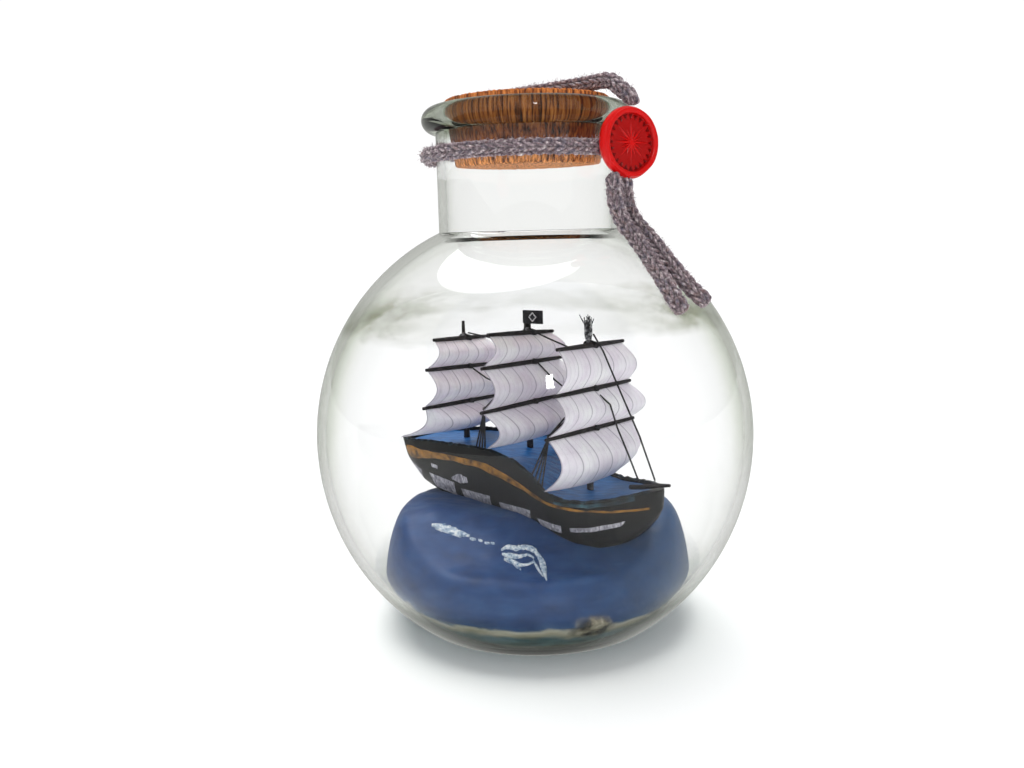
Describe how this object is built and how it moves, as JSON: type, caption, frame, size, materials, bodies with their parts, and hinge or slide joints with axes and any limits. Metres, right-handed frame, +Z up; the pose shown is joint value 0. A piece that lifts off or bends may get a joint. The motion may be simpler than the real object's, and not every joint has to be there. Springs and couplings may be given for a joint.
{
  "type": "ship in a bottle",
  "caption": "Round clear glass bottle holding a three-masted sailing ship on a blue clay sea, closed by a cork, a knitted cord and a red wax seal.",
  "frame": {"origin": "centre of the bottle's base, on the surface it stands on", "axes": "+Z up the bottle's axis to the cork, -Y out of the bottle's front, +X to its right where the ship's bow points"},
  "size_m": [0.15, 0.15, 0.1843],
  "materials": {
    "clear_glass": "clear, thick, faintly green hand-formed glass",
    "agglomerated_cork": "matt natural cork with dark flecks",
    "tweed_wool": "knitted mauve-grey wool with pale and dark flecks",
    "red_sealing_wax": "bright red sealing wax, softly glossy",
    "blue_painted_clay": "blue paint over hand-worked clay with white foam strokes",
    "black_hull_paint": "hand-brushed black paint with an ochre stripe and pale gun ports",
    "blue_deck_paint": "hand-brushed bright blue paint",
    "blackened_spar_wood": "wood stained black",
    "white_sailcloth": "thin white cloth with ruled grey seams",
    "black_thread": "waxed black thread",
    "black_flag_cloth": null
  },
  "bodies": {
    "bottle": {"bottle": "clear_glass", "sea_base": "blue_painted_clay", "neck_cord": "tweed_wool", "hull": "black_hull_paint", "deck": "blue_deck_paint", "bowsprit": "blackened_spar_wood", "flag": "black_flag_cloth", "flag_staff": "blackened_spar_wood", "mizzen_mast": "blackened_spar_wood", "mizzen_course_yard": "blackened_spar_wood", "mizzen_course_sail": "white_sailcloth", "mizzen_topsail_yard": "blackened_spar_wood", "mizzen_topsail_sail": "white_sailcloth", "mizzen_topgallant_yard": "blackened_spar_wood", "mizzen_topgallant_sail": "white_sailcloth", "main_mast": "blackened_spar_wood", "main_course_yard": "blackened_spar_wood", "main_course_sail": "white_sailcloth", "main_topsail_yard": "blackened_spar_wood", "main_topsail_sail": "white_sailcloth", "main_topgallant_yard": "blackened_spar_wood", "main_topgallant_sail": "white_sailcloth", "fore_mast": "blackened_spar_wood", "fore_course_yard": "blackened_spar_wood", "fore_course_sail": "white_sailcloth", "fore_topsail_yard": "blackened_spar_wood", "fore_topsail_sail": "white_sailcloth", "fore_topgallant_yard": "blackened_spar_wood", "fore_topgallant_sail": "white_sailcloth", "main_shrouds_starboard": "black_thread", "main_shrouds_port": "black_thread", "fore_shrouds_starboard": "black_thread", "fore_shrouds_port": "black_thread", "fore_topmast_stay": "black_thread", "fore_stay": "black_thread", "main_topmast_stay": "black_thread", "main_stay": "black_thread", "mizzen_topmast_stay": "black_thread", "mizzen_stay": "black_thread"},
    "cork": {"cork": "agglomerated_cork"},
    "sealed_strap": {"wax_seal": "red_sealing_wax", "strap_cord": "tweed_wool", "tail_cord_left": "tweed_wool", "tail_cord_right": "tweed_wool"}
  },
  "joints": [
    {"name": "cork_lift", "type": "slide", "parent": "bottle", "child": "cork", "axis": [0, 0, 1], "range_m": [0, 0.045]},
    {"name": "strap_lift", "type": "slide", "parent": "cork", "child": "sealed_strap", "axis": [0, 0, 1], "range_m": [0, 0.06]}
  ]
}
